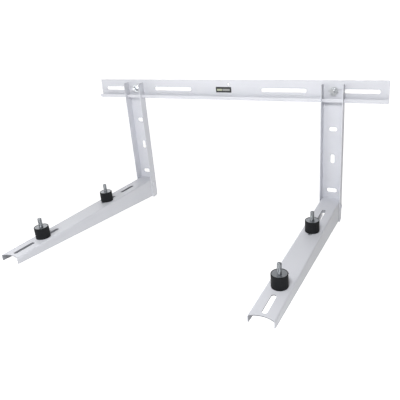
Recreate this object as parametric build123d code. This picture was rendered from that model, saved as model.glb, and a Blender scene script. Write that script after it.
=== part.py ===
from build123d import *
import os

# Wall bracket for the outdoor unit of an air conditioner, in millimetres.
# X runs along the rail, the wall is the plane Y = 0 with the bracket on its -Y side,
# and Z = 0 is the centre line of the rail's slots.

# folded steel sheet
SHEET = 2.0
BEND_RADIUS = 2.0          # at the middle of the sheet
FIT = 0.5                  # play round the rail where it passes through the uprights

# rail
RAIL_LENGTH = 780.0
RAIL_HEIGHT = 48.0
RAIL_LIP_DEPTH = 14.0      # back of the web to the front of the lip
RAIL_LIP_HEIGHT = 9.0
RAIL_CORNER_RADIUS = 1.5
RAIL_SLOT_LENGTH = 112.0
RAIL_SLOT_WIDTH = 9.0
RAIL_SLOT_GAP = 51.0       # sheet left between an inner and an outer slot
RAIL_END_MARGIN = 18.0     # sheet left past the outer slots
PILOT_HOLE_RADIUS = 2.5
PILOT_HOLE_X = 10.0
PILOT_HOLE_Z = 13.0

# uprights
UPRIGHT_INSET = 11.5       # an upright's middle lies this far along its outer slot
UPRIGHT_WIDTH = 50.0
UPRIGHT_DEPTH = 24.0
UPRIGHT_TOP = 16.0
UPRIGHT_FOOT = 54.0        # arm's top down to the upright's lower end
HEEL_RADIUS = 10.0
UPRIGHT_CORNER_RADIUS = 3.0
# centre height, width along X and height along Z of each wall slot
WALL_SLOTS = ((-88.0, 18.0, 10.0), (-160.0, 9.0, 22.0), (-240.0, 24.0, 10.0))

# arms
ARM_TOP = -260.0
ARM_FRONT = -480.0
ARM_HEEL_DEPTH = 52.0
ARM_TIP_DEPTH = 13.0
ARM_FRONT_HOLLOW = 6.0     # how far the arm's front edge curves in between its corners
ARM_HEEL_STEP = 1.5        # side walls stop this far short of the upright's web
ARM_SLOT_LENGTH = 50.0
ARM_SLOT_WIDTH = 9.0
ARM_FRONT_SLOTS = (37.0, 104.0)    # slot centres, back from the arm's front
ARM_REAR_SLOTS = (102.5, 180.0)    # slot centres, out from the wall

# corner rivets
RIVET_Y = -12.0
RIVET_DROP = 16.0          # arm's top down to the rivets
RIVET_RADIUS = 3.0
RIVET_HEAD_RADIUS = 6.0
RIVET_HEAD_HEIGHT = 2.5
RIVET_TAIL_RADIUS = 4.8
RIVET_TAIL_HEIGHT = 1.8
RIVET_PLAY = 0.1

# M8 studs, washers and nuts
STUD_RADIUS = 4.0
STUD_CHAMFER = 0.8
STUD_PLAY = 0.1
NUT_ACROSS_FLATS = 13.0
NUT_HEIGHT = 6.8
NUT_CHAMFER = 0.7
WASHER_RADIUS = 10.0
WASHER_THICKNESS = 1.6
RAIL_STUD_END = 12.5       # how far the stud stands in front of the rail's web
RAIL_STUD_HEAD_RADIUS = 5.5
RAIL_STUD_HEAD_HEIGHT = 1.0

# dampers
REAR_DAMPER = 185.0        # out from the wall
FRONT_DAMPER = 87.0        # back from the arm's front
RUBBER_RADIUS = 15.0
RUBBER_HEIGHT = 25.4
RUBBER_EDGE_RADIUS = 0.8
PLATE_RADIUS = 13.6
PLATE_THICKNESS = 1.6
PLATE_PLAY = 0.1
TOP_PLATE_RECESS = 0.4     # top plate lies this far below the rubber's rim
TOP_STUD_LENGTH = 20.0
BASE_STUD_LENGTH = 14.0

OUTER_SLOT_X = RAIL_LENGTH / 2 - RAIL_END_MARGIN - RAIL_SLOT_LENGTH / 2
INNER_SLOT_X = OUTER_SLOT_X - RAIL_SLOT_LENGTH - RAIL_SLOT_GAP
UPRIGHT_X = OUTER_SLOT_X - RAIL_SLOT_LENGTH / 2 + UPRIGHT_INSET
SIDES = {"left": -UPRIGHT_X, "right": UPRIGHT_X}
ARM_SLOT_CENTRES = [ARM_FRONT + d for d in ARM_FRONT_SLOTS] + [-d for d in ARM_REAR_SLOTS]
DAMPER_ROWS = {"rear": -REAR_DAMPER, "front": ARM_FRONT + FRONT_DAMPER}

RAIL_BACK = -SHEET                     # rail lies on the front face of the upright's web
RAIL_FACE = RAIL_BACK - SHEET
RAIL_BOTTOM = -RAIL_HEIGHT / 2
LIP_FACE = RAIL_BACK - RAIL_LIP_DEPTH
ARM_WIDTH = UPRIGHT_WIDTH - 2 * SHEET  # arm fits between the upright's side walls
ARM_UNDERSIDE = ARM_TOP - SHEET
UPRIGHT_BOTTOM = ARM_TOP - UPRIGHT_FOOT
RIVET_Z = ARM_TOP - RIVET_DROP


def folded_section(*corners):
    """Sheet section along a bent line given at the middle of the sheet."""
    return trace(FilletPolyline(*corners, radius=BEND_RADIUS), SHEET)


def slot_cutter(length, width, depth):
    """Round-ended cutter lying along its own X, centred on its origin."""
    return extrude(SlotOverall(length, width), amount=depth / 2, both=True)


def through_sheet(x, z):
    """Placement on the rail and web line, facing out from the wall."""
    return Plane(origin=(x, -SHEET, z), x_dir=(1, 0, 0), z_dir=(0, -1, 0))


def wall_slot_cutter(x, z, width, height):
    """Cutter for a slot of either direction through sheet that lies on the wall line."""
    depth = 4 * SHEET
    if width >= height:
        return through_sheet(x, z) * slot_cutter(width, height, depth)
    return through_sheet(x, z) * Rot(0, 0, 90) * slot_cutter(height, width, depth)


def make_rail():
    """Long folded rail: flat web, lip along the bottom and a short return up the front."""
    half = SHEET / 2
    top = RAIL_HEIGHT / 2
    section = folded_section(
        (RAIL_BACK - half, top),
        (RAIL_BACK - half, RAIL_BOTTOM + half),
        (LIP_FACE + half, RAIL_BOTTOM + half),
        (LIP_FACE + half, RAIL_BOTTOM + RAIL_LIP_HEIGHT),
    )
    rail = extrude(Plane.YZ * section, amount=RAIL_LENGTH / 2, both=True)
    top_ends = rail.edges().filter_by(Axis.Y).group_by(Axis.Z)[-1]
    rail = fillet(top_ends, RAIL_CORNER_RADIUS)
    for x in (-OUTER_SLOT_X, -INNER_SLOT_X, INNER_SLOT_X, OUTER_SLOT_X):
        rail -= wall_slot_cutter(x, 0, RAIL_SLOT_LENGTH, RAIL_SLOT_WIDTH)
    hole = Cylinder(PILOT_HOLE_RADIUS, 4 * SHEET)
    rail -= through_sheet(PILOT_HOLE_X, PILOT_HOLE_Z) * hole
    return rail


def rail_passage():
    """Cutter with the rail's outline and its play, for the side walls of an upright."""
    width = UPRIGHT_WIDTH + 2 * SHEET
    height = UPRIGHT_TOP - RAIL_BOTTOM + 2 * FIT
    bottom = RAIL_BOTTOM - FIT
    web = Pos(0, RAIL_BACK, bottom) * Box(
        width, SHEET + FIT, height, align=(Align.CENTER, Align.MAX, Align.MIN))
    lip = Pos(0, RAIL_BACK, bottom) * Box(
        width, RAIL_LIP_DEPTH + FIT, SHEET + 2 * FIT, align=(Align.CENTER, Align.MAX, Align.MIN))
    front = Pos(0, LIP_FACE - FIT, bottom) * Box(
        width, SHEET + 2 * FIT, RAIL_LIP_HEIGHT + 2 * FIT,
        align=(Align.CENTER, Align.MIN, Align.MIN))
    return web + lip + front


def heel_cutter():
    """Cutter that leaves the upright's lower rear corners round and ends its web above them."""
    width = UPRIGHT_WIDTH + 2 * SHEET
    corner = Box(width, HEEL_RADIUS, HEEL_RADIUS, align=(Align.CENTER, Align.MAX, Align.MIN))
    round_part = Pos(0, -HEEL_RADIUS, HEEL_RADIUS) * Rot(0, 90, 0) * Cylinder(HEEL_RADIUS, width)
    web_end = Box(width, SHEET, HEEL_RADIUS, align=(Align.CENTER, Align.MAX, Align.MIN))
    return Pos(0, 0, UPRIGHT_BOTTOM) * (corner - round_part + web_end)


def make_upright(x):
    """Channel standing on the wall with its open side to the front."""
    half = SHEET / 2
    side = UPRIGHT_WIDTH / 2 - half
    section = folded_section(
        (-side, -UPRIGHT_DEPTH), (-side, -half), (side, -half), (side, -UPRIGHT_DEPTH))
    upright = Pos(0, 0, UPRIGHT_BOTTOM) * extrude(section, amount=UPRIGHT_TOP - UPRIGHT_BOTTOM)
    front_ends = upright.edges().filter_by(Axis.X).group_by(Axis.Y)[0]
    upright = fillet(front_ends, UPRIGHT_CORNER_RADIUS)
    upright -= heel_cutter()
    upright -= rail_passage()
    for z, width, height in WALL_SLOTS:
        upright -= wall_slot_cutter(0, z, width, height)
    upright -= through_sheet(0, 0) * Cylinder(STUD_RADIUS + STUD_PLAY, 4 * SHEET)
    recess = Cylinder(
        RAIL_STUD_HEAD_RADIUS + STUD_PLAY, RAIL_STUD_HEAD_HEIGHT,
        align=(Align.CENTER, Align.CENTER, Align.MIN))
    upright -= Plane(origin=(0, 0, 0), z_dir=(0, -1, 0)) * recess
    upright -= rivet_hole_cutter()
    return Pos(x, 0, 0) * upright


def rivet_hole_cutter():
    """Both corner rivet holes of one bracket, cut in one line across it."""
    hole = Cylinder(RIVET_RADIUS + RIVET_PLAY, UPRIGHT_WIDTH + 2 * SHEET)
    return Pos(0, RIVET_Y, RIVET_Z) * Rot(0, 90, 0) * hole


def arm_side_outline():
    """Side view of the arm: level top, straight tapering lower edge, stepped heel."""
    heel = RAIL_BACK - ARM_HEEL_STEP
    corners = (
        (RAIL_BACK, ARM_TOP),
        (RAIL_BACK, ARM_UNDERSIDE),
        (heel, ARM_UNDERSIDE - BEND_RADIUS),
        (heel, ARM_TOP - ARM_HEEL_DEPTH),
        (ARM_FRONT, ARM_TOP - ARM_TIP_DEPTH),
        (ARM_FRONT, ARM_TOP),
    )
    outline = make_face(Polyline(*corners, close=True))
    return extrude(Plane.YZ * outline, amount=UPRIGHT_WIDTH, both=True)


def arm_front_cutter():
    """Cutter for the hollow curve of the arm's front edge, between its side walls."""
    reach = ARM_WIDTH / 2 - SHEET
    chord = (-reach, ARM_FRONT), (0, ARM_FRONT + ARM_FRONT_HOLLOW), (reach, ARM_FRONT)
    hollow = make_face([ThreePointArc(*chord), Line(chord[2], chord[0])])
    return Pos(0, 0, ARM_UNDERSIDE - SHEET) * extrude(hollow, amount=3 * SHEET)


def arm_heel_cutter():
    """Cutter for the two rear corners of the arm, clear of the upright's bends."""
    step = ARM_HEEL_STEP + SHEET / 2
    corners = Part()
    for sign in (-1, 1):
        corners += Pos(sign * ARM_WIDTH / 2, RAIL_BACK, ARM_TOP) * Box(2 * step, 2 * step, 4 * step)
    return corners


def make_arm(x):
    """Channel lying under the unit with its open side down, wide at the wall end."""
    half = SHEET / 2
    side = ARM_WIDTH / 2 - half
    top = ARM_TOP - half
    bottom = ARM_TOP - ARM_HEEL_DEPTH
    section = folded_section((-side, bottom), (-side, top), (side, top), (side, bottom))
    arm = Pos(0, RAIL_BACK, 0) * extrude(Plane.XZ * section, amount=RAIL_BACK - ARM_FRONT)
    arm &= arm_side_outline()
    arm -= arm_front_cutter()
    arm -= arm_heel_cutter()
    for y in ARM_SLOT_CENTRES:
        cutter = slot_cutter(ARM_SLOT_LENGTH, ARM_SLOT_WIDTH, 4 * SHEET)
        arm -= Pos(0, y, ARM_TOP) * Rot(0, 0, 90) * cutter
    arm -= rivet_hole_cutter()
    return Pos(x, 0, 0) * arm


def make_rivet():
    """Round-headed rivet along its own Z: shank through both sheets, head up, tail below."""
    grip = 2 * SHEET
    upward = (Align.CENTER, Align.CENTER, Align.MIN)
    downward = (Align.CENTER, Align.CENTER, Align.MAX)
    head = Cylinder(RIVET_HEAD_RADIUS, RIVET_HEAD_HEIGHT, align=upward)
    head = fillet(head.edges().group_by(Axis.Z)[-1], 0.8 * RIVET_HEAD_HEIGHT)
    tail = Cylinder(RIVET_TAIL_RADIUS, RIVET_TAIL_HEIGHT, align=downward)
    tail = fillet(tail.edges().group_by(Axis.Z)[0], 0.7 * RIVET_TAIL_HEIGHT)
    shank = Cylinder(RIVET_RADIUS, grip, align=downward)
    return head + shank + Pos(0, 0, -grip) * tail


def make_corner_rivets(x):
    """Pair of rivets that hold an arm inside the foot of its upright."""
    rivets = []
    for sign in (-1, 1):
        face = Plane(origin=(x + sign * UPRIGHT_WIDTH / 2, RIVET_Y, RIVET_Z), z_dir=(sign, 0, 0))
        rivets.append(face * make_rivet())
    return Compound(children=rivets)


def make_stud(length):
    """Plain M8 shank standing on its origin, chamfered at its free end."""
    stud = Cylinder(STUD_RADIUS, length, align=(Align.CENTER, Align.CENTER, Align.MIN))
    return chamfer(stud.edges().group_by(Axis.Z)[-1], STUD_CHAMFER)


def make_washer():
    """Flat washer standing on its origin."""
    base = (Align.CENTER, Align.CENTER, Align.MIN)
    disc = Cylinder(WASHER_RADIUS, WASHER_THICKNESS, align=base)
    return disc - Cylinder(STUD_RADIUS + 2 * STUD_PLAY, WASHER_THICKNESS, align=base)


def make_nut():
    """Hexagon nut standing on its origin, with its corners turned off at both ends."""
    base = (Align.CENTER, Align.CENTER, Align.MIN)
    prism = extrude(RegularPolygon(NUT_ACROSS_FLATS / 2, 6, major_radius=False), amount=NUT_HEIGHT)
    corner_radius = NUT_ACROSS_FLATS / 3 ** 0.5
    turned = Cylinder(corner_radius, NUT_HEIGHT, align=base)
    turned = chamfer(turned.edges().filter_by(GeomType.CIRCLE), NUT_CHAMFER)
    bore = Cylinder(STUD_RADIUS + STUD_PLAY, NUT_HEIGHT, align=base)
    return (prism & turned) - bore


def out_from(x, y):
    """Placement on the rail's centre line at depth y, facing out from the wall."""
    return Plane(origin=(x, y, 0), x_dir=(1, 0, 0), z_dir=(0, -1, 0))


def make_rail_stud(x):
    """Stud whose flat head is sunk in the back of the upright's web."""
    base = (Align.CENTER, Align.CENTER, Align.MIN)
    head = Cylinder(RAIL_STUD_HEAD_RADIUS, RAIL_STUD_HEAD_HEIGHT, align=base)
    return out_from(x, 0) * (head + make_stud(-RAIL_FACE + RAIL_STUD_END))


def make_rubber(x, y):
    """Round rubber block with a shallow seat for a plate at each end."""
    base = (Align.CENTER, Align.CENTER, Align.MIN)
    rubber = Cylinder(RUBBER_RADIUS, RUBBER_HEIGHT, align=base)
    rubber = fillet(rubber.edges().filter_by(GeomType.CIRCLE), RUBBER_EDGE_RADIUS)
    seat_radius = PLATE_RADIUS + PLATE_PLAY
    rubber -= Cylinder(seat_radius, PLATE_THICKNESS, align=base)
    top_seat = PLATE_THICKNESS + TOP_PLATE_RECESS
    rubber -= Pos(0, 0, RUBBER_HEIGHT - top_seat) * Cylinder(seat_radius, top_seat, align=base)
    return Pos(x, y, ARM_TOP) * rubber


def make_plate(stud_length):
    """Round plate standing on its origin with an M8 stud on its upper face."""
    plate = Cylinder(PLATE_RADIUS, PLATE_THICKNESS, align=(Align.CENTER, Align.CENTER, Align.MIN))
    return plate + Pos(0, 0, PLATE_THICKNESS) * make_stud(stud_length)


def make_top_plate(x, y):
    """Upper plate of a damper, its stud pointing up to the unit's foot."""
    seat = ARM_TOP + RUBBER_HEIGHT - TOP_PLATE_RECESS - PLATE_THICKNESS
    return Pos(x, y, seat) * make_plate(TOP_STUD_LENGTH)


def under(x, y, z):
    """Placement on the underside of something, facing down."""
    return Plane(origin=(x, y, z), x_dir=(1, 0, 0), z_dir=(0, 0, -1))


def make_base_plate(x, y):
    """Lower plate of a damper, its stud pointing down through the arm's slot."""
    return under(x, y, ARM_TOP + PLATE_THICKNESS) * make_plate(BASE_STUD_LENGTH)


def bracket_parts(side, x):
    """Every piece of the bracket on one side, by name."""
    return {
        f"{side}_upright": make_upright(x),
        f"{side}_arm": make_arm(x),
        f"{side}_corner_rivets": make_corner_rivets(x),
        f"{side}_rail_stud": make_rail_stud(x),
        f"{side}_rail_washer": out_from(x, RAIL_FACE) * make_washer(),
        f"{side}_rail_nut": out_from(x, RAIL_FACE - WASHER_THICKNESS) * make_nut(),
    }


def damper_parts(name, x, y):
    """Every piece of one damper and its fastening, by name."""
    return {
        f"{name}_damper_rubber": make_rubber(x, y),
        f"{name}_damper_top_plate": make_top_plate(x, y),
        f"{name}_damper_base_plate": make_base_plate(x, y),
        f"{name}_damper_washer": under(x, y, ARM_UNDERSIDE) * make_washer(),
        f"{name}_damper_nut": under(x, y, ARM_UNDERSIDE - WASHER_THICKNESS) * make_nut(),
    }


parts = {"rail": make_rail()}
for side, side_x in SIDES.items():
    parts.update(bracket_parts(side, side_x))
    for row, row_y in DAMPER_ROWS.items():
        parts.update(damper_parts(f"{side}_{row}", side_x, row_y))

os.makedirs("parts", exist_ok=True)
for name, shape in parts.items():
    export_step(shape, os.path.join("parts", name + ".step"))
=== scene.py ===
import math

import bmesh
import bpy
from mathutils import Matrix, Vector


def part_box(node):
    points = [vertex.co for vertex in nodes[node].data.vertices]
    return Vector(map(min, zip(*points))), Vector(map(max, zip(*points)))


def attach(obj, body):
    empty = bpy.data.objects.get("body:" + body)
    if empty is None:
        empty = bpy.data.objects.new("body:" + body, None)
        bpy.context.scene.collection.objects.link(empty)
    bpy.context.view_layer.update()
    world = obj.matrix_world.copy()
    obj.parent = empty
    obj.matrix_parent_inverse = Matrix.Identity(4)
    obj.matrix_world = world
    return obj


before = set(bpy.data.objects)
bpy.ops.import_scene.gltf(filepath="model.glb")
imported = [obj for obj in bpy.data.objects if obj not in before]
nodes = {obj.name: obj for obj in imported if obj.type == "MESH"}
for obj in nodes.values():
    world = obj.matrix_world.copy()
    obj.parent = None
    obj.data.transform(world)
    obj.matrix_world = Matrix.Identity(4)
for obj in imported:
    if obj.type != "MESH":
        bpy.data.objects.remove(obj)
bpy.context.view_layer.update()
MM = 0.001


# Rail
# The long rail is one strip of 2 mm steel, punched with its slots and folded to a lip along the bottom.
# It is powder coated after folding: an epoxy and polyester paint, sprayed on dry and baked in one layer.

COAT_WHITE = "d9dae0"
COAT_SHADE = "ced0d6"
COAT_CLOUD_WIDTH = 90 * MM      # slow change in the thickness of the coat
COAT_PEEL_WIDTH = 2.4 * MM      # the real peel is about 1 mm wide, drawn coarser so that it shows
COAT_PEEL_DEPTH = 0.03 * MM
COAT_ROUGHNESS = (0.36, 0.5)
COAT_EDGE_RADIUS = 0.35 * MM
EDGE_SAMPLES = 6                # rays that look for an edge to round


def linear(code):
    """Linear colour of an sRGB hex code."""
    shares = [int(code[i:i + 2], 16) / 255 for i in (0, 2, 4)]
    return [s / 12.92 if s <= 0.04045 else ((s + 0.055) / 1.055) ** 2.4 for s in shares] + [1.0]


def add_node(tree, kind, inputs=None, **settings):
    """Adds a node, with its settings and with each input set to a value or linked to a socket."""
    node = tree.nodes.new(kind)
    for name, value in settings.items():
        setattr(node, name, value)
    for socket, value in (inputs or {}).items():
        if isinstance(value, bpy.types.NodeSocket):
            tree.links.new(value, node.inputs[socket])
        else:
            node.inputs[socket].default_value = value
    return node


def start_material(name):
    """New node material and its shader."""
    material = bpy.data.materials.new(name)
    material.use_nodes = True
    return material, material.node_tree, material.node_tree.nodes["Principled BSDF"]


def finish_nodes(names, material):
    """Gives CAD nodes their finish."""
    for name in names:
        for slot in nodes[name].material_slots:
            slot.material = material


def powder_coat(name):
    """White powder coat: a soft satin sheen with a faint peel, a little rounded on punched edges."""
    material, tree, shader = start_material(name)
    place = add_node(tree, "ShaderNodeTexCoord")
    cloud = add_node(tree, "ShaderNodeTexNoise", {
        "Vector": place.outputs["Object"], "Scale": 1 / COAT_CLOUD_WIDTH, "Detail": 3.0})
    colour = add_node(tree, "ShaderNodeMix", {
        "Factor": cloud.outputs["Fac"], "A": linear(COAT_WHITE), "B": linear(COAT_SHADE)},
        data_type="RGBA")
    tree.links.new(colour.outputs[2], shader.inputs["Base Color"])
    peel = add_node(tree, "ShaderNodeTexNoise", {
        "Vector": place.outputs["Object"], "Scale": 1 / COAT_PEEL_WIDTH, "Detail": 2.0})
    rounded = add_node(tree, "ShaderNodeBevel", {"Radius": COAT_EDGE_RADIUS}, samples=EDGE_SAMPLES)
    bump = add_node(tree, "ShaderNodeBump", {
        "Height": peel.outputs["Fac"], "Distance": COAT_PEEL_DEPTH, "Strength": 0.6,
        "Normal": rounded.outputs["Normal"]})
    tree.links.new(bump.outputs["Normal"], shader.inputs["Normal"])
    sheen = add_node(tree, "ShaderNodeMapRange", {
        "Value": peel.outputs["Fac"], "To Min": COAT_ROUGHNESS[0], "To Max": COAT_ROUGHNESS[1]})
    tree.links.new(sheen.outputs["Result"], shader.inputs["Roughness"])
    shader.inputs["IOR"].default_value = 1.5
    return material


white_coat = powder_coat("white_powder_coat")
finish_nodes(["rail"], white_coat)


# Uprights
# Two channels of the same sheet stand with their webs on the wall and their open sides to the front.
# Their side walls are cut out where the rail passes through them, and they carry the same coat.

finish_nodes(["left_upright", "right_upright"], white_coat)


# Arms
# Each arm is a channel of the same sheet, open underneath, whose side walls taper to the front.
# Inside it, the coat is painted a darker grey as painted shade, so that the slots look dark.

ARM_PAINTED_SHADE = "85878d"
ARM_MIDDLE = 271.5 * MM         # from the middle of the rail
ARM_INNER_HALF = 21.1 * MM      # takes in the inner faces of the side walls
ARM_INNER_TOP = -260.4 * MM     # takes in the edges of the slots, but not the top face
ARM_INNER_REAR = -25 * MM       # what lies behind is inside the upright

arm_coat = powder_coat("white_powder_coat_painted_shade_inside")
tree = arm_coat.node_tree
place = tree.nodes["Texture Coordinate"]
full_coat = tree.nodes["Mix"]
apart = add_node(tree, "ShaderNodeSeparateXYZ", {"Vector": place.outputs["Object"]})
from_middle = add_node(tree, "ShaderNodeMath", {0: apart.outputs["X"]}, operation="ABSOLUTE")
between_walls = add_node(tree, "ShaderNodeMath", {
    0: from_middle.outputs[0], 1: ARM_MIDDLE, 2: ARM_INNER_HALF}, operation="COMPARE")
under_top = add_node(tree, "ShaderNodeMath", {
    0: apart.outputs["Z"], 1: ARM_INNER_TOP}, operation="LESS_THAN")
past_heel = add_node(tree, "ShaderNodeMath", {
    0: apart.outputs["Y"], 1: ARM_INNER_REAR}, operation="LESS_THAN")
below = add_node(tree, "ShaderNodeMath", {
    0: under_top.outputs[0], 1: past_heel.outputs[0]}, operation="MULTIPLY")
inside = add_node(tree, "ShaderNodeMath", {
    0: below.outputs[0], 1: between_walls.outputs[0]}, operation="MULTIPLY")
# painted shade: the darker grey goes inside the channel, under the top face and in front of the heel
coat = add_node(tree, "ShaderNodeMix", {
    "Factor": inside.outputs[0], "A": full_coat.outputs[2], "B": linear(ARM_PAINTED_SHADE)},
    data_type="RGBA")
tree.links.new(coat.outputs[2], tree.nodes["Principled BSDF"].inputs["Base Color"])
finish_nodes(["left_arm", "right_arm"], arm_coat)


# Corner rivets
# Round-headed steel rivets join each arm to its upright, one through each pair of side walls.
# They are set before the bracket is coated, so they carry the same white coat as the sheet.

finish_nodes(["left_corner_rivets", "right_corner_rivets"], white_coat)


# Studs, washers and nuts
# M8 fastenings of steel, turned, stamped or cold formed, then zinc plated and passivated.
# The rail's are plated bright. Those of the dampers come with them and are plated a duller grey.

BRIGHT_ZINC = ("c6cacd", "eceef0")
BRIGHT_ROUGHNESS = (0.24, 0.42)
DULL_ZINC = ("8b8f94", "b6b9bc")
DULL_ROUGHNESS = (0.32, 0.5)
ZINC_MOTTLE_WIDTH = 3.5 * MM
ZINC_MOTTLE_DEPTH = 0.02 * MM
ZINC_EDGE_RADIUS = 0.2 * MM


def zinc_plate(name, tints, roughness):
    """Zinc plate: a metal shine with a slight mottle, which scatters it a little along the facets."""
    material, tree, shader = start_material(name)
    place = add_node(tree, "ShaderNodeTexCoord")
    mottle = add_node(tree, "ShaderNodeTexNoise", {
        "Vector": place.outputs["Object"], "Scale": 1 / ZINC_MOTTLE_WIDTH, "Detail": 4.0})
    colour = add_node(tree, "ShaderNodeMix", {
        "Factor": mottle.outputs["Fac"], "A": linear(tints[0]), "B": linear(tints[1])},
        data_type="RGBA")
    tree.links.new(colour.outputs[2], shader.inputs["Base Color"])
    rough = add_node(tree, "ShaderNodeMapRange", {
        "Value": mottle.outputs["Fac"], "To Min": roughness[0], "To Max": roughness[1]})
    tree.links.new(rough.outputs["Result"], shader.inputs["Roughness"])
    rounded = add_node(tree, "ShaderNodeBevel", {"Radius": ZINC_EDGE_RADIUS}, samples=EDGE_SAMPLES)
    bump = add_node(tree, "ShaderNodeBump", {
        "Height": mottle.outputs["Fac"], "Distance": ZINC_MOTTLE_DEPTH, "Strength": 0.5,
        "Normal": rounded.outputs["Normal"]})
    tree.links.new(bump.outputs["Normal"], shader.inputs["Normal"])
    shader.inputs["Metallic"].default_value = 1.0
    return material


bright_zinc = zinc_plate("bright_zinc_plate", BRIGHT_ZINC, BRIGHT_ROUGHNESS)
dull_zinc = zinc_plate("dull_zinc_plate", DULL_ZINC, DULL_ROUGHNESS)
zinc_endings = ("_stud", "_washer", "_nut", "_plate")
for name in nodes:
    if name.endswith(zinc_endings):
        finish_nodes([name], dull_zinc if "_damper_" in name else bright_zinc)


# Stud threads
# Each stud carries a rolled M8 thread of 1.25 mm pitch over its free length.
# A fine helical crest stands on the plain shank of the frame wherever the stud shows.

STUD_RADIUS = 4.0 * MM
FOOT_PLATE_THICKNESS = 1.6 * MM
THREAD_PITCH = 1.25 * MM
THREAD_CREST = 0.32 * MM
THREAD_END = 0.9 * MM           # plain chamfered point past the last turn
THREAD_STEPS = 24               # to each turn
THREAD_CORNERS = 4              # round the section of the crest


def build_thread_tree():
    """Node tree that puts one helical crest, pointing along the given turn, on each point of a mesh."""
    group = bpy.data.node_groups.new("stud_thread", "GeometryNodeTree")
    face = group.interface
    face.new_socket("Geometry", in_out="OUTPUT", socket_type="NodeSocketGeometry")
    face.new_socket("Geometry", in_out="INPUT", socket_type="NodeSocketGeometry")
    for name in ("Length", "Pitch", "Stud Radius", "Crest"):
        face.new_socket(name, in_out="INPUT", socket_type="NodeSocketFloat")
    face.new_socket("Turn", in_out="INPUT", socket_type="NodeSocketVector")
    face.new_socket("Finish", in_out="INPUT", socket_type="NodeSocketMaterial")
    given = add_node(group, "NodeGroupInput")
    turns = add_node(group, "ShaderNodeMath", {
        0: given.outputs["Length"], 1: given.outputs["Pitch"]}, operation="DIVIDE")
    helix = add_node(group, "GeometryNodeCurveSpiral", {
        "Resolution": THREAD_STEPS, "Rotations": turns.outputs[0],
        "Start Radius": given.outputs["Stud Radius"], "End Radius": given.outputs["Stud Radius"],
        "Height": given.outputs["Length"]})
    crest = add_node(group, "GeometryNodeCurvePrimitiveCircle", {
        "Resolution": THREAD_CORNERS, "Radius": given.outputs["Crest"]})
    ridge = add_node(group, "GeometryNodeCurveToMesh", {
        "Curve": helix.outputs[0], "Profile Curve": crest.outputs[0], "Fill Caps": True})
    turn = add_node(group, "FunctionNodeEulerToRotation", {"Euler": given.outputs["Turn"]})
    copies = add_node(group, "GeometryNodeInstanceOnPoints", {
        "Points": given.outputs["Geometry"], "Instance": ridge.outputs["Mesh"],
        "Rotation": turn.outputs["Rotation"]})
    real = add_node(group, "GeometryNodeRealizeInstances", {"Geometry": copies.outputs["Instances"]})
    painted = add_node(group, "GeometryNodeSetMaterial", {
        "Geometry": real.outputs["Geometry"], "Material": given.outputs["Finish"]})
    add_node(group, "NodeGroupOutput", {"Geometry": painted.outputs["Geometry"]})
    return group


def bake_on_points(name, points, group, values):
    """Runs a node tree on a few points and keeps the result as a plain mesh on the root body."""
    seed = bpy.data.meshes.new(name)
    seed.from_pydata(points, [], [])
    piece = bpy.data.objects.new(name, seed)
    bpy.context.scene.collection.objects.link(piece)
    modifier = piece.modifiers.new("make", "NODES")
    modifier.node_group = group
    for socket in group.interface.items_tree:
        if socket.name in values and socket.in_out == "INPUT":
            modifier[socket.identifier] = values[socket.name]
    drawn = piece.evaluated_get(bpy.context.evaluated_depsgraph_get())
    baked = bpy.data.meshes.new_from_object(drawn)
    piece.modifiers.remove(modifier)
    piece.data = baked
    bpy.data.meshes.remove(seed)
    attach(piece, "root")
    return piece


def middle(name):
    """Middle of a node's box."""
    low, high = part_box(name)
    return (low + high) / 2


thread_tree = build_thread_tree()
foot_plates = [name for name in nodes if name.endswith("_top_plate")]
plate_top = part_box(foot_plates[0])[0].z + FOOT_PLATE_THICKNESS
foot_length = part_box(foot_plates[0])[1].z - plate_top - THREAD_END
shared = {"Pitch": THREAD_PITCH, "Stud Radius": STUD_RADIUS, "Crest": THREAD_CREST}
bake_on_points(
    "foot_stud_threads",
    [(middle(name).x, middle(name).y, plate_top) for name in foot_plates],
    thread_tree, {**shared, "Length": foot_length, "Turn": (0, 0, 0), "Finish": dull_zinc})
base_plates = [name for name in nodes if name.endswith("_base_plate")]
nut_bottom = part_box("left_front_damper_nut")[0].z
base_length = nut_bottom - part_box(base_plates[0])[0].z - THREAD_END
bake_on_points(
    "base_stud_threads",
    [(middle(name).x, middle(name).y, nut_bottom) for name in base_plates],
    thread_tree, {**shared, "Length": base_length, "Turn": (math.pi, 0, 0), "Finish": dull_zinc})
nut_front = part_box("left_rail_nut")[0].y
rail_length = nut_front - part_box("left_rail_stud")[0].y - THREAD_END
bake_on_points(
    "rail_stud_threads",
    [(middle(name).x, nut_front, middle(name).z) for name in ("left_rail_stud", "right_rail_stud")],
    thread_tree, {**shared, "Length": rail_length, "Turn": (math.pi / 2, 0, 0), "Finish": bright_zinc})


# Damper rubbers
# Each foot of the unit stands on a round block of black rubber, moulded and bonded between two plates.
# Moulded natural rubber is a soft black with a dull cool sheen, a little greyer where it is handled.

RUBBER_BLACK = "101214"
RUBBER_WORN = "1e2023"
RUBBER_GRAIN_WIDTH = 1.2 * MM
RUBBER_GRAIN_DEPTH = 0.05 * MM
RUBBER_BLOOM_WIDTH = 14 * MM

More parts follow.
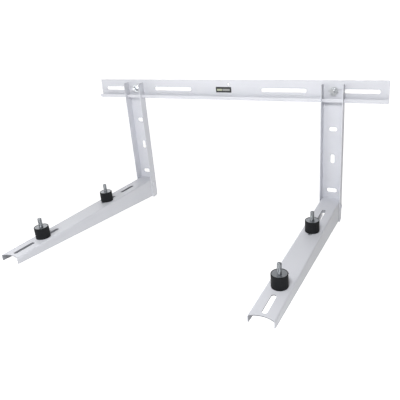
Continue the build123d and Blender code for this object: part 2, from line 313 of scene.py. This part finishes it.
rubber, tree, shader = start_material("moulded_black_rubber")
place = add_node(tree, "ShaderNodeTexCoord")
bloom = add_node(tree, "ShaderNodeTexNoise", {
    "Vector": place.outputs["Object"], "Scale": 1 / RUBBER_BLOOM_WIDTH, "Detail": 3.0})
colour = add_node(tree, "ShaderNodeMix", {
    "Factor": bloom.outputs["Fac"], "A": linear(RUBBER_BLACK), "B": linear(RUBBER_WORN)},
    data_type="RGBA")
tree.links.new(colour.outputs[2], shader.inputs["Base Color"])
grain = add_node(tree, "ShaderNodeTexNoise", {
    "Vector": place.outputs["Object"], "Scale": 1 / RUBBER_GRAIN_WIDTH, "Detail": 2.0})
bump = add_node(tree, "ShaderNodeBump", {
    "Height": grain.outputs["Fac"], "Distance": RUBBER_GRAIN_DEPTH, "Strength": 0.5})
tree.links.new(bump.outputs["Normal"], shader.inputs["Normal"])
shader.inputs["Roughness"].default_value = 0.68
shader.inputs["IOR"].default_value = 1.4
shader.inputs["Specular IOR Level"].default_value = 0.3
finish_nodes([name for name in nodes if name.endswith("_rubber")], rubber)


# Rail label
# A small printed foil is stuck on the front of the rail near its middle: a dark border round two plain
# pale panels, one of them tinted. A clear matt laminate over the ink gives it an uneven satin gloss.

LABEL_BORDER = "2e3032"
LABEL_TINTED = "aeb39a"
LABEL_PALE = "969795"
LABEL_LEFT = -25 * MM
LABEL_RIGHT = 17.8 * MM
LABEL_BOTTOM = -7.2 * MM
LABEL_TOP = 6.8 * MM
LABEL_THICKNESS = 0.12 * MM
LABEL_CORNER = 1.2 * MM
LABEL_CORNER_STEPS = 6
LABEL_INK_WIDTH = 3 * MM
LABEL_ROUGHNESS = (0.38, 0.52)
PANEL_LEFT = -21.6 * MM
PANEL_RIGHT = 13.4 * MM
PANEL_BOTTOM = -3.0 * MM
PANEL_TOP = 1.8 * MM
PANEL_SPLIT = (-7.6 * MM, -6.4 * MM)
PANEL_CORNER = 0.5 * MM
PANEL_THICKNESS = 1.4 * LABEL_THICKNESS      # from the rail, so the panels stand proud of the border
RAIL_WEB_FACE = -4.0 * MM


def rounded_plate(name, left, right, bottom, top, corner, back, front):
    """Thin upright plate with round corners, which faces the front and lies between two depths."""
    mesh = bmesh.new()
    outline = []
    for number, (x, z) in enumerate((
            (right - corner, top - corner), (left + corner, top - corner),
            (left + corner, bottom + corner), (right - corner, bottom + corner))):
        for step in range(LABEL_CORNER_STEPS + 1):
            angle = math.pi / 2 * (number + step / LABEL_CORNER_STEPS)
            outline.append((x + corner * math.cos(angle), z + corner * math.sin(angle)))
    base = mesh.faces.new([mesh.verts.new((x, back, z)) for x, z in outline])
    grown = bmesh.ops.extrude_face_region(mesh, geom=[base])
    fresh = [item for item in grown["geom"] if isinstance(item, bmesh.types.BMVert)]
    bmesh.ops.translate(mesh, verts=fresh, vec=(0, front - back, 0))
    bmesh.ops.recalc_face_normals(mesh, faces=mesh.faces)
    data = bpy.data.meshes.new(name)
    mesh.to_mesh(data)
    mesh.free()
    piece = bpy.data.objects.new(name, data)
    bpy.context.scene.collection.objects.link(piece)
    return piece


for part, tint, left, right, bottom, top, corner, height in (
        ("border", LABEL_BORDER, LABEL_LEFT, LABEL_RIGHT,
         LABEL_BOTTOM, LABEL_TOP, LABEL_CORNER, LABEL_THICKNESS),
        ("tinted_panel", LABEL_TINTED, PANEL_LEFT, PANEL_SPLIT[0],
         PANEL_BOTTOM, PANEL_TOP, PANEL_CORNER, PANEL_THICKNESS),
        ("pale_panel", LABEL_PALE, PANEL_SPLIT[1], PANEL_RIGHT,
         PANEL_BOTTOM, PANEL_TOP, PANEL_CORNER, PANEL_THICKNESS)):
    foil, tree, shader = start_material("printed_label_" + part)
    place = add_node(tree, "ShaderNodeTexCoord")
    ink = add_node(tree, "ShaderNodeTexNoise", {
        "Vector": place.outputs["Object"], "Scale": 1 / LABEL_INK_WIDTH})
    gloss = add_node(tree, "ShaderNodeMapRange", {
        "Value": ink.outputs["Fac"], "To Min": LABEL_ROUGHNESS[0], "To Max": LABEL_ROUGHNESS[1]})
    tree.links.new(gloss.outputs["Result"], shader.inputs["Roughness"])
    shader.inputs["Base Color"].default_value = linear(tint)
    shader.inputs["IOR"].default_value = 1.49
    label = rounded_plate(
        "rail_label_" + part, left, right, bottom, top, corner, RAIL_WEB_FACE, RAIL_WEB_FACE - height)
    label.data.materials.append(foil)
    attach(label, "root")


# Floor
# The wall that the bracket hangs on isn't drawn. Below is a wide sheet of white studio paper. It glows by
# emission, a painted pool of light: a clean white where it lies behind the bracket, greyer in front of
# it.

FLOOR_WHITE = "ffffff"
FLOOR_BASE_GLOW = 0.2
FLOOR_ADDED_GLOW = 0.6          # where it is lit
FLOOR_HEIGHT = -900 * MM
FLOOR_REACH = 12.0
# each a direction along the floor, and the metres along it where the painted glow begins and is full
FLOOR_BACK = (Vector((-0.6, 0.8, 0.0)), -1.3, -0.15)
FLOOR_RIGHT = (Vector((1.0, 0.08, 0.0)), 1.4, 0.48)
FLOOR_FAR = (Vector((0.0, 1.0, 0.0)), 1.2, 4.5)

floor_mesh = bpy.data.meshes.new("floor")
floor_mesh.from_pydata(
    [(x * FLOOR_REACH, y * FLOOR_REACH, FLOOR_HEIGHT) for x, y in ((-1, -1), (1, -1), (1, 1), (-1, 1))],
    [], [(0, 1, 2, 3)])
floor = bpy.data.objects.new("floor", floor_mesh)
bpy.context.scene.collection.objects.link(floor)
paper, tree, shader = start_material("studio_paper_painted_glow")
place = add_node(tree, "ShaderNodeTexCoord")
shares = []
for direction, begins, full in (FLOOR_BACK, FLOOR_RIGHT, FLOOR_FAR):
    along = add_node(tree, "ShaderNodeVectorMath", {
        0: place.outputs["Object"], 1: direction}, operation="DOT_PRODUCT")
    shares.append(add_node(tree, "ShaderNodeMapRange", {
        "Value": along.outputs["Value"], "From Min": begins, "From Max": full},
        interpolation_type="SMOOTHSTEP").outputs["Result"])
painted_pool = add_node(tree, "ShaderNodeMath", {0: shares[0], 1: shares[1]}, operation="MULTIPLY")
painted_light_share = add_node(tree, "ShaderNodeMath", {0: painted_pool.outputs[0], 1: shares[2]}, operation="MAXIMUM")
# painted light: the floor's own glow, which also lights the bracket from below
glow = add_node(tree, "ShaderNodeMath", {
    0: painted_light_share.outputs[0], 1: FLOOR_ADDED_GLOW, 2: FLOOR_BASE_GLOW}, operation="MULTIPLY_ADD")
tree.links.new(glow.outputs[0], shader.inputs["Emission Strength"])
shader.inputs["Base Color"].default_value = linear(FLOOR_WHITE)
shader.inputs["Emission Color"].default_value = linear(FLOOR_WHITE)
shader.inputs["Roughness"].default_value = 0.9
floor_mesh.materials.append(paper)


# Studio
# A white room round the bracket: a bright far wall, a softer left wall, and a dim right side and skyline.
# It is light alone, spread by direction, so no wall of it stands round the bracket.

# each a direction, the cosines of the angle from it where the light begins and is full, and both levels
FAR_WALL = (Vector((-0.4, 0.9, -0.45)), 0.45, 0.72, 0.0, 1.0)
LEFT_WALL = (Vector((-1.0, 0.25, -0.1)), 0.4, 0.85, 0.0, 0.6)
RIGHT_SIDE = (Vector((1.0, -0.2, 0.0)), 0.0, 0.6, 0.26, 0.07)
SKYLINE = (Vector((0.0, 0.0, 1.0)), 0.05, 0.4, 0.42, 0.0)

world = bpy.data.worlds.new("white_studio")
bpy.context.scene.world = world
world.use_nodes = True
tree = world.node_tree
room = tree.nodes["Background"]
place = add_node(tree, "ShaderNodeTexCoord")
total = 0.0
for direction, begins, full, first, last in (FAR_WALL, LEFT_WALL, RIGHT_SIDE, SKYLINE):
    side = add_node(tree, "ShaderNodeVectorMath", {
        0: place.outputs["Generated"], 1: direction.normalized()}, operation="DOT_PRODUCT")
    level = add_node(tree, "ShaderNodeMapRange", {
        "Value": side.outputs["Value"], "From Min": begins, "From Max": full,
        "To Min": first, "To Max": last}, interpolation_type="SMOOTHSTEP")
    total = add_node(tree, "ShaderNodeMath", {
        0: level.outputs["Result"], 1: total}, operation="ADD").outputs[0]
tree.links.new(total, room.inputs["Strength"])
room.inputs["Color"].default_value = linear(FLOOR_WHITE)


# Softboxes
# A strong lamp high in front models the folds. Four weak ones lift the right end, the arms and the far
# end. Each has a name, a place, the point it faces, its width in metres and its power in watts.

SOFTBOXES = (
    ("high_middle", (0.3, -0.9, 0.6), (0.1, 0.0, -0.1), 0.25, 6.9),
    ("high_right", (0.6, -0.9, 0.75), (0.1, 0.0, -0.1), 0.3, 1.0),
    ("right_arm", (0.52, -0.68, -0.35), (0.3, -0.45, -0.28), 0.15, 0.42),
    ("left_arm", (-0.2, -0.75, 0.1), (-0.27, -0.44, -0.26), 0.2, 1.2),
    ("far_left", (-1.0, -0.95, -0.12), (-0.27, 0.0, 0.0), 0.4, 0.7),
)

for name, spot, target, width, power in SOFTBOXES:
    data = bpy.data.lights.new("softbox_" + name, "AREA")
    data.size = width
    data.energy = power
    lamp = bpy.data.objects.new("softbox_" + name, data)
    bpy.context.scene.collection.objects.link(lamp)
    lamp.location = spot
    lamp.rotation_euler = (Vector(target) - Vector(spot)).to_track_quat("-Z", "Y").to_euler()


# Camera
# It stands in front of the right end of the bracket, a little above the rail, and looks down at it.
# The values follow from a fit of the part's real sizes to the photograph.

CAMERA_PLACE = (476.6 * MM, -965.7 * MM, 161.9 * MM)
CAMERA_YAW = 25.33
CAMERA_PITCH = -20.01
CAMERA_ROLL = -3.32
CAMERA_LENS = 38.36
CAMERA_SENSOR = 36.0
CAMERA_SHIFT = (-0.0939, -0.0619)

camera_data = bpy.data.cameras.new("camera")
camera_data.lens = CAMERA_LENS
camera_data.sensor_width = CAMERA_SENSOR
camera_data.shift_x, camera_data.shift_y = CAMERA_SHIFT
camera = bpy.data.objects.new("camera", camera_data)
bpy.context.scene.collection.objects.link(camera)
turn = (Matrix.Rotation(math.radians(CAMERA_YAW), 4, "Z")
        @ Matrix.Rotation(math.radians(90 + CAMERA_PITCH), 4, "X")
        @ Matrix.Rotation(math.radians(CAMERA_ROLL), 4, "Z"))
camera.matrix_world = Matrix.Translation(CAMERA_PLACE) @ turn
bpy.context.scene.camera = camera
bpy.context.scene.view_settings.view_transform = "Standard"
